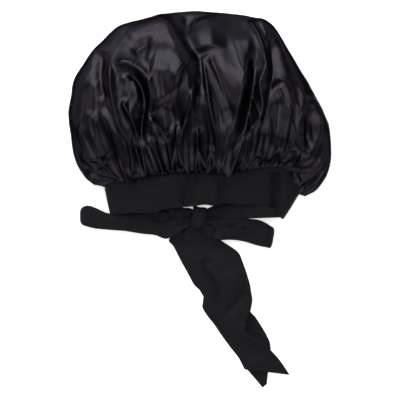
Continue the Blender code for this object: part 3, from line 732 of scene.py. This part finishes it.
def band_surface(sizes):
    """Round the doubled knit: in from the seam over the outside, round the rim's fold and back up the inside."""

    def place(u, v):
        angle = ring_angles(u, BAND_UPPER_COLUMNS)
        seam, rim = seam_ring(angle), rim_ring(angle)
        straight = (1 - RIM_FOLD_ROWS) / 2
        outside, inside = v < straight, v > 1 - straight
        out = np.clip(v / straight, 0, 1)
        back = np.clip((v - 1 + straight) / straight, 0, 1)
        turning = np.clip((v - straight) / RIM_FOLD_ROWS, 0, 1) * math.pi
        depth = np.where(outside, 1 - out, np.where(inside, back, 0.0))
        outer = rim + (seam - rim) * depth[..., None]
        half_wall = sizes.wall / 2
        inward = np.where(
            outside,
            half_wall * (1 - ease(out / 0.12)),
            np.where(inside, sizes.wall - half_wall * ease((back - 0.88) / 0.12), half_wall * (1 - np.cos(turning))),
        )
        past = np.where(outside | inside, 0.0, half_wall * np.sin(turning))
        outwards = np.stack((np.cos(angle), np.zeros_like(angle), np.sin(angle)), axis=-1)
        away = rim - seam
        away = away / np.linalg.norm(away, axis=-1, keepdims=True)
        swell = sizes.swell * np.sin(math.pi * depth) * ease((np.sin(angle) + 0.2) / 0.5)
        x, y = outer[..., 0], outer[..., 1]
        upper = ease(np.sin(angle) / 0.3)
        slack = BAND_SLACK_RISE * wander(x * 90 + 30 * y, *BAND_SLACK) * upper
        pucker = PUCKER_RISE * np.cos(math.pi * PUCKERS * ring_across(angle)) * ease((depth - 0.72) / 0.28)
        lift = swell + slack + pucker - inward
        points = outer + outwards * lift[..., None] + away * past[..., None]
        points[..., 2] += fold_height(x, y, BAND_FOLDS) * TIE_FOLD_RISE * upper
        points[..., 2] = np.maximum(points[..., 2], FLOOR_GAP + np.minimum(inward, sizes.wall))
        points[-1] = points[0]
        points[:, -1] = points[:, 0]
        return points

    return place


def knot_centre():
    return START + np.array((KNOT_SHIFT, SEAM_ARCH - BAND_DEPTH - KNOT_DROP, 0.0))


def wrap_centre():
    return knot_centre() + np.array((WRAP_SHIFT, 0.0, 0.0))


def knot_ripple(points, u, sizes, seed):
    """Lengthwise creases where a strip is drawn into the knot."""
    centre = wrap_centre()
    away = np.hypot(points[..., 0] - centre[0], points[..., 1] - centre[1]) - WRAP_WIDTH / 2
    wave = np.cos(2 * math.pi * RIPPLES * u + wander(u * 4, seed, *KNOT_RIPPLE))
    return sizes.ripple * wave * np.exp(-((np.maximum(away, 0) / RIPPLE_REACH) ** 1.2))


def tail_surface(sections, base, sizes, seed, folds):
    numbered = [TailStep(step, *section) for step, section in enumerate(sections)]

    def place(u, v):
        row = row_values(numbered, "step", v * (len(sections) - 1))
        down = (row.left_along * (1 - u) + row.right_along * u) * TAIL_LENGTH
        across = (row.left * (1 - u) + row.right * u) * TIE_WIDTH
        lift = (row.lift_left * (1 - u) * (1 - 2 * u) + row.lift_middle * 4 * u * (1 - u)
                + row.lift_right * u * (2 * u - 1))
        centre = knot_centre()
        x = centre[0] + math.sin(TAIL_ANGLE) * down + math.cos(TAIL_ANGLE) * across
        y = centre[1] - math.cos(TAIL_ANGLE) * down + math.sin(TAIL_ANGLE) * across
        z = base + TIE_FOLD_RISE * np.maximum(0, lift)
        points = np.stack((x, y, z), axis=-1)
        shape = fold_height(x, y, folds) * TIE_FOLD_RISE
        slack = TIE_SLACK_RISE * wander(x * 120 + 60 * y, seed, *TIE_SLACK)
        points[..., 2] += shape + slack + knot_ripple(points, u, sizes, seed)
        points[..., 2] = np.maximum(points[..., 2], base)
        return points

    return place


def loop_profile(v):
    """How far along the loop and how far from its lower layer to its upper one, going round it."""
    straight = (1 - LOOP_TURN_ROWS) / 2
    turn = math.pi * np.clip((v - straight) / LOOP_TURN_ROWS, 0, 1)
    going = (1 - LOOP_TURN_DEPTH) * v / straight
    coming = (1 - LOOP_TURN_DEPTH) * (1 - v) / straight
    turning = 1 - LOOP_TURN_DEPTH + LOOP_TURN_DEPTH * np.sin(turn)
    along = np.where(v < straight, going, np.where(v > 1 - straight, coming, turning))
    layer = np.where(v < straight, 0.0, np.where(v > 1 - straight, 1.0, (1 - np.cos(turn)) / 2))
    return along, layer


def loop_surface(sections, length, slant, way, sizes, seed, folds):
    def place(u, v):
        along, layer = loop_profile(v)
        row = row_values(sections, "along", along)
        rounding = 1 - 0.022 * np.abs(2 * u - 1) ** 5
        reach = along * length * (1 - slant * (1 - u)) * rounding
        x = wrap_centre()[0] + way * reach
        y = knot_centre()[1] + (row.lower * (1 - u) + row.upper * u) * LOOP_WIDTH
        base = sizes.wall / 2 + UNDER_GAP
        z = base + row.lift * KNOT_HEIGHT + layer * row.gap * LOOP_GAP
        points = np.stack((x, y, z), axis=-1)
        shape = fold_height(x, y, folds) * TIE_FOLD_RISE
        slack = TIE_SLACK_RISE * wander(x * 110 + 50 * y, seed, *TIE_SLACK)
        points[..., 2] += ease((layer - 0.5) / 0.5) * (shape + slack + knot_ripple(points, u, sizes, seed))
        points[..., 2] = np.maximum(points[..., 2], base)
        return points

    return place


def strap_surface(sections, start_turn, way, sizes, seed):
    def place(u, v):
        angle = start_turn[0] + (start_turn[1] - start_turn[0]) * u
        inward = np.stack((-np.cos(angle), np.zeros_like(angle), -np.sin(angle)), axis=-1)
        start = rim_ring(angle) + inward * STRAP_INSET + np.array((0, STRAP_TUCK, 0))
        centre = knot_centre()
        reach = abs(float(rim_ring(np.array(0.0 if way > 0 else math.pi))[0]) - centre[0])
        first = sections[0].run
        row = row_values(sections, "run", np.maximum(v, first))
        round_fold = np.sin(math.pi * u)
        x = centre[0] + way * reach * (1 - row.run)
        edges = row.low_edge * (1 - u) + row.high_edge * u
        y = centre[1] + (edges * (1 - round_fold) + row.fold * round_fold) * LOOP_WIDTH
        z = (row.low + (row.high - row.low) * ease((u - 0.30) / 0.36)) * KNOT_HEIGHT
        points = np.stack((x, y, z), axis=-1)
        share = np.clip(v / first, 0, 1)[..., None]
        points = np.where(v[..., None] < first, start + (points - start) * share, points)
        slack = TIE_SLACK_RISE * wander(points[..., 0] * 160, seed, *STRAP_SLACK)
        crease = slack * np.sin(math.pi * u) * ease(v / 0.1)
        points[..., 2] += crease + knot_ripple(points, u, sizes, seed) * ease((u - 0.5) / 0.3)
        points[..., 2] = np.maximum(points[..., 2], sizes.wall / 2 + UNDER_GAP)
        return points

    return place


def knot_piece(material):
    """The strip wrapped round the bow: a squarish roll that leans, with creases running over it."""
    mesh = bmesh.new()
    bmesh.ops.create_uvsphere(mesh, u_segments=KNOT_GRID[0], v_segments=KNOT_GRID[1], radius=1)
    # The sphere's points and faces come in another order each time, so they are sorted
    order = Vector((1.0, 3.7, 11.3))
    mesh.verts.sort(key=lambda vertex: vertex.co.dot(order))
    mesh.faces.sort(key=lambda face: face.calc_center_median().dot(order))
    cloth_map = mesh.loops.layers.uv.new("Cloth")
    for face in mesh.faces:
        middle = face.calc_center_median()
        middle_turn = math.atan2(middle.y, middle.z)
        for corner in face.loops:
            at = corner.vert.co
            turn = math.atan2(at.y, at.z)
            turn += 2 * math.pi * round((middle_turn - turn) / (2 * math.pi))
            corner[cloth_map].uv = (at.x * WRAP_WIDTH / 2, turn * WRAP_DEPTH / 2)
    centre = Vector(wrap_centre())
    for vertex in mesh.verts:
        unit = vertex.co.copy()
        square = Vector(math.copysign(abs(part) ** KNOT_SQUARENESS, part) for part in unit)
        groove = sum(depth * math.exp(-(((unit.x - at) / width) ** 2)) for depth, at, width in KNOT_GROOVES)
        crease = KNOT_CREASE * math.sin(8 * unit.x + 3 * unit.y)
        shrink = 1 - (groove + crease) * max(0.0, unit.z + 0.3)
        waist = 1 - KNOT_WAIST * math.cos(1.4 * unit.y)
        corner = max(0.0, square.y) * max(0.0, -square.x)
        x = square.x * WRAP_WIDTH / 2 * waist + KNOT_LEAN * square.y
        y = square.y * WRAP_DEPTH / 2 * (1 - KNOT_TAPER * unit.x) + KNOT_CORNER * corner**3
        z = KNOT_HEIGHT * (KNOT_MIDDLE + KNOT_HALF * square.z * shrink - KNOT_SLOPE * unit.x)
        vertex.co = centre + Vector((x, y, z))
    bmesh.ops.recalc_face_normals(mesh, faces=mesh.faces)
    return finish_mesh("knit_knot", mesh, material)


def set_inputs(shader, **inputs):
    for name, value in inputs.items():
        shader.inputs[name.replace("_", " ")].default_value = value


def start_material(name):
    material = bpy.data.materials.new(name)
    material.use_nodes = True
    tree = material.node_tree

    def node(kind, **inputs):
        made = tree.nodes.new(kind)
        set_inputs(made, **inputs)
        return made

    def link(source, output, target, socket):
        tree.links.new(source.outputs[output], target.inputs[socket])

    return material, tree.nodes["Principled BSDF"], node, link


def satin_material(finish):
    """Black satin: a fine twill of long floats with a soft sheen."""
    material, shader, node, link = start_material("black_satin")
    set_inputs(shader, Metallic=1.0, Specular_Tint=(0.25, 0.25, 0.25, 1))
    place = node("ShaderNodeTexCoord")
    tinted = node("ShaderNodeTexNoise", Scale=26.0, Detail=3.0)
    link(place, "Object", tinted, "Vector")
    shades = node("ShaderNodeValToRGB")
    red, green, blue = finish.satin
    darker, lighter = (red * 0.92, green * 0.97, blue * 1.06), (red * 1.04, green * 0.99, blue * 1.08)
    for stop, at, colour in zip(shades.color_ramp.elements, (0.35, 0.65), (darker, lighter)):
        stop.position = at
        stop.color = (*colour, 1)
    link(tinted, "Fac", shades, "Fac")
    link(shades, "Color", shader, "Base Color")
    cloth_map = node("ShaderNodeUVMap")
    cloth_map.uv_map = "Cloth"
    threads = node("ShaderNodeTexWave", Scale=260.0, Distortion=1.5, Detail=2.0)
    threads.bands_direction = "DIAGONAL"
    link(cloth_map, "UV", threads, "Vector")
    cloudy = node("ShaderNodeTexNoise", Scale=38.0, Detail=4.0, Roughness=0.6)
    link(place, "Object", cloudy, "Vector")
    rough = node("ShaderNodeMapRange", To_Min=finish.satin_roughness - 0.04, To_Max=finish.satin_roughness + 0.05)
    link(cloudy, "Fac", rough, "Value")
    link(rough, "Result", shader, "Roughness")
    weave = node("ShaderNodeBump", Strength=0.12, Distance=0.0002)
    link(threads, "Fac", weave, "Height")
    crumple = node("ShaderNodeBump", Strength=0.35, Distance=0.0008)
    link(cloudy, "Fac", crumple, "Height")
    link(weave, "Normal", crumple, "Normal")
    link(crumple, "Normal", shader, "Normal")
    return material


def knit_material(finish):
    """Matte black jersey: fine ribs along the strip, with a little fuzz."""
    material, shader, node, link = start_material("black_knit")
    set_inputs(shader, Roughness=0.65, Specular_IOR_Level=0.17, Specular_Tint=(0.90, 0.88, 1.0, 1),
               Sheen_Weight=0.06, Sheen_Roughness=0.5, Sheen_Tint=(0.45, 0.44, 0.48, 1))
    cloth_map = node("ShaderNodeUVMap")
    cloth_map.uv_map = "Cloth"
    ribs = node("ShaderNodeTexWave", Scale=160.0, Distortion=0.8, Detail=1.0)
    ribs.bands_direction = "X"
    rows = node("ShaderNodeTexWave", Scale=220.0, Distortion=1.2, Detail=1.0)
    rows.bands_direction = "Y"
    for wave in (ribs, rows):
        link(cloth_map, "UV", wave, "Vector")
    place = node("ShaderNodeTexCoord")
    cloudy = node("ShaderNodeTexNoise", Scale=24.0, Detail=5.0, Roughness=0.65)
    link(place, "Object", cloudy, "Vector")
    shades = node("ShaderNodeValToRGB")
    for stop, change in zip(shades.color_ramp.elements, (0.86, 1.16)):
        stop.color = (*(part * change for part in finish.knit), 1)
    link(cloudy, "Fac", shades, "Fac")
    link(shades, "Color", shader, "Base Color")
    first = node("ShaderNodeBump", Strength=0.30, Distance=0.0003)
    link(ribs, "Fac", first, "Height")
    second = node("ShaderNodeBump", Strength=0.20, Distance=0.0003)
    link(rows, "Fac", second, "Height")
    link(first, "Normal", second, "Normal")
    link(second, "Normal", shader, "Normal")
    return material


def floor_material(colour):
    material, shader, _, _ = start_material("pale_floor")
    set_inputs(shader, Base_Color=(*colour, 1), Roughness=0.9, Emission_Color=(1, 1, 1, 1), Emission_Strength=0.55)
    return material


def named_material(name, make, finish):
    return bpy.data.materials.get(name) or make(finish)


class BONNET_OT_crown(Operator):
    """Make the gathered satin crown"""

    bl_idname = "bonnet.crown"
    bl_label = "Crown"

    def execute(self, context):
        sizes, finish = context.scene.bonnet_crown, context.scene.bonnet_finish
        satin = named_material("black_satin", satin_material, finish)
        crown = cloth_piece("satin_crown", CROWN_GRID, crown_surface(sizes), CROWN_MAP, satin,
                            wall=sizes.wall, offset=-1, closed=True)
        declare(crown, ["crown"])
        return {"FINISHED"}


class BONNET_OT_band(Operator):
    """Make the doubled knit band"""

    bl_idname = "bonnet.band"
    bl_label = "Band"

    def execute(self, context):
        sizes, finish = context.scene.bonnet_band, context.scene.bonnet_finish
        knit = named_material("black_knit", knit_material, finish)
        band = cloth_piece("knit_band", BAND_GRID, band_surface(sizes), BAND_MAP, knit, closed=True)
        declare(band, ["band"])
        return {"FINISHED"}


class BONNET_OT_ties(Operator):
    """Make the straps, the bow's loops and the tails"""

    bl_idname = "bonnet.ties"
    bl_label = "Ties"

    def execute(self, context):
        sizes, finish = context.scene.bonnet_ties, context.scene.bonnet_finish
        knit = named_material("black_knit", knit_material, finish)
        low = sizes.wall / 2 + FLOOR_GAP
        high = low + sizes.wall + TAIL_GAP
        tail_back = tail_surface(BACK_TAIL, low, sizes, 51, ())
        tail_front = tail_surface(FRONT_TAIL, high, sizes, 52, TAIL_FOLDS)
        loop_left = loop_surface(LEFT_LOOP, LEFT_LOOP_LENGTH, 0.0, -1, sizes, 53, LEFT_LOOP_FOLDS)
        loop_right = loop_surface(RIGHT_LOOP, RIGHT_LOOP_LENGTH, RIGHT_LOOP_SLANT, 1, sizes, 54, RIGHT_LOOP_FOLDS)
        strap_left = strap_surface(LEFT_STRAP, LEFT_STRAP_START, -1, sizes, 55)
        strap_right = strap_surface(RIGHT_STRAP, RIGHT_STRAP_START, 1, sizes, 56)
        for name, cad_node, grid, place, flat, held in (
            ("knit_tail_back", "tail_back", (30, 150), tail_back, (0.05, 0.25), "laid"),
            ("knit_tail_front", "tail_front", (60, 240), tail_front, (0.05, 0.25), "laid"),
            ("knit_loop_left", "bow_loop_left", (40, 280), loop_left, (0.028, 0.30), "folded"),
            ("knit_loop_right", "bow_loop_right", (44, 220), loop_right, (0.026, 0.215), "folded"),
            ("knit_strap_left", "strap_left", (36, 80), strap_left, (0.025, 0.10), "folded"),
            ("knit_strap_right", "strap_right", (36, 90), strap_right, (0.045, 0.12), "folded"),
        ):
            strip = cloth_piece(name, grid, place, flat, knit, wall=sizes.wall)
            declare(strip, [cad_node])
        return {"FINISHED"}


class BONNET_OT_knot(Operator):
    """Make the knot of the bow"""

    bl_idname = "bonnet.knot"
    bl_label = "Knot"

    def execute(self, context):
        knit = named_material("black_knit", knit_material, context.scene.bonnet_finish)
        knot = knot_piece(knit)
        declare(knot, ["bow_knot"])
        return {"FINISHED"}


class BONNET_OT_stage(Operator):
    """Make the floor, the softboxes and the camera"""

    bl_idname = "bonnet.stage"
    bl_label = "Stage"

    def execute(self, context):
        sizes = context.scene.bonnet_stage
        mesh = bmesh.new()
        bmesh.ops.create_grid(mesh, x_segments=1, y_segments=1, size=FLOOR_SIZE)
        floor = finish_mesh("floor", mesh, floor_material(sizes.floor))

        for name, place, width, height, power in SOFTBOXES:
            light = bpy.data.lights.new(name, "AREA")
            light.shape = "RECTANGLE"
            light.size, light.size_y = width, height
            light.energy = getattr(sizes, power)
            lamp = bpy.data.objects.new(name, light)
            lamp.location = place
            lamp.rotation_euler = (Vector(LIGHT_TARGET) - Vector(place)).to_track_quat("-Z", "Y").to_euler()
            context.scene.collection.objects.link(lamp)

        world = bpy.data.worlds.new("dim_room")
        world.use_nodes = True
        set_inputs(world.node_tree.nodes["Background"], Color=(1, 1, 1, 1), Strength=0.05)
        context.scene.world = world
        context.scene.view_settings.view_transform = "Standard"

        camera_data = bpy.data.cameras.new("overhead")
        camera_data.sensor_width = 36
        camera_data.lens = camera_data.sensor_width * (sizes.camera_height - PICTURE_LEVEL) / sizes.frame_width
        camera = bpy.data.objects.new("overhead", camera_data)
        camera.location = (*CAMERA_PLACE, sizes.camera_height)
        context.scene.collection.objects.link(camera)
        context.scene.camera = camera
        return {"FINISHED"}


class BONNET_PT_panel(Panel):
    """Buttons for each piece of the bonnet"""

    bl_idname = "BONNET_PT_panel"
    bl_label = "Sleep Bonnet"
    bl_space_type = "VIEW_3D"
    bl_region_type = "UI"
    bl_category = "Bonnet"

    def draw(self, context):
        for group in SETTINGS:
            box = self.layout.box()
            settings = getattr(context.scene, group)
            for name in settings.bl_rna.properties.keys():
                if name not in ("rna_type", "name"):
                    box.prop(settings, name)
        for operator in MAKERS:
            self.layout.operator(operator.bl_idname)


SETTINGS = {
    "bonnet_crown": BonnetCrown,
    "bonnet_band": BonnetBand,
    "bonnet_ties": BonnetTies,
    "bonnet_finish": BonnetFinish,
    "bonnet_stage": BonnetStage,
}
MAKERS = (BONNET_OT_crown, BONNET_OT_band, BONNET_OT_ties, BONNET_OT_knot, BONNET_OT_stage)
CLASSES = (*SETTINGS.values(), *MAKERS, BONNET_PT_panel)


def register():
    for kind in CLASSES:
        bpy.utils.register_class(kind)
    for name, kind in SETTINGS.items():
        setattr(bpy.types.Scene, name, PointerProperty(type=kind))


def unregister():
    for name in SETTINGS:
        delattr(bpy.types.Scene, name)
    for kind in reversed(CLASSES):
        bpy.utils.unregister_class(kind)


def main():
    register()
    bpy.ops.bonnet.crown()
    bpy.ops.bonnet.band()
    bpy.ops.bonnet.ties()
    bpy.ops.bonnet.knot()
    bpy.ops.bonnet.stage()


if __name__ == "__main__":
    main()
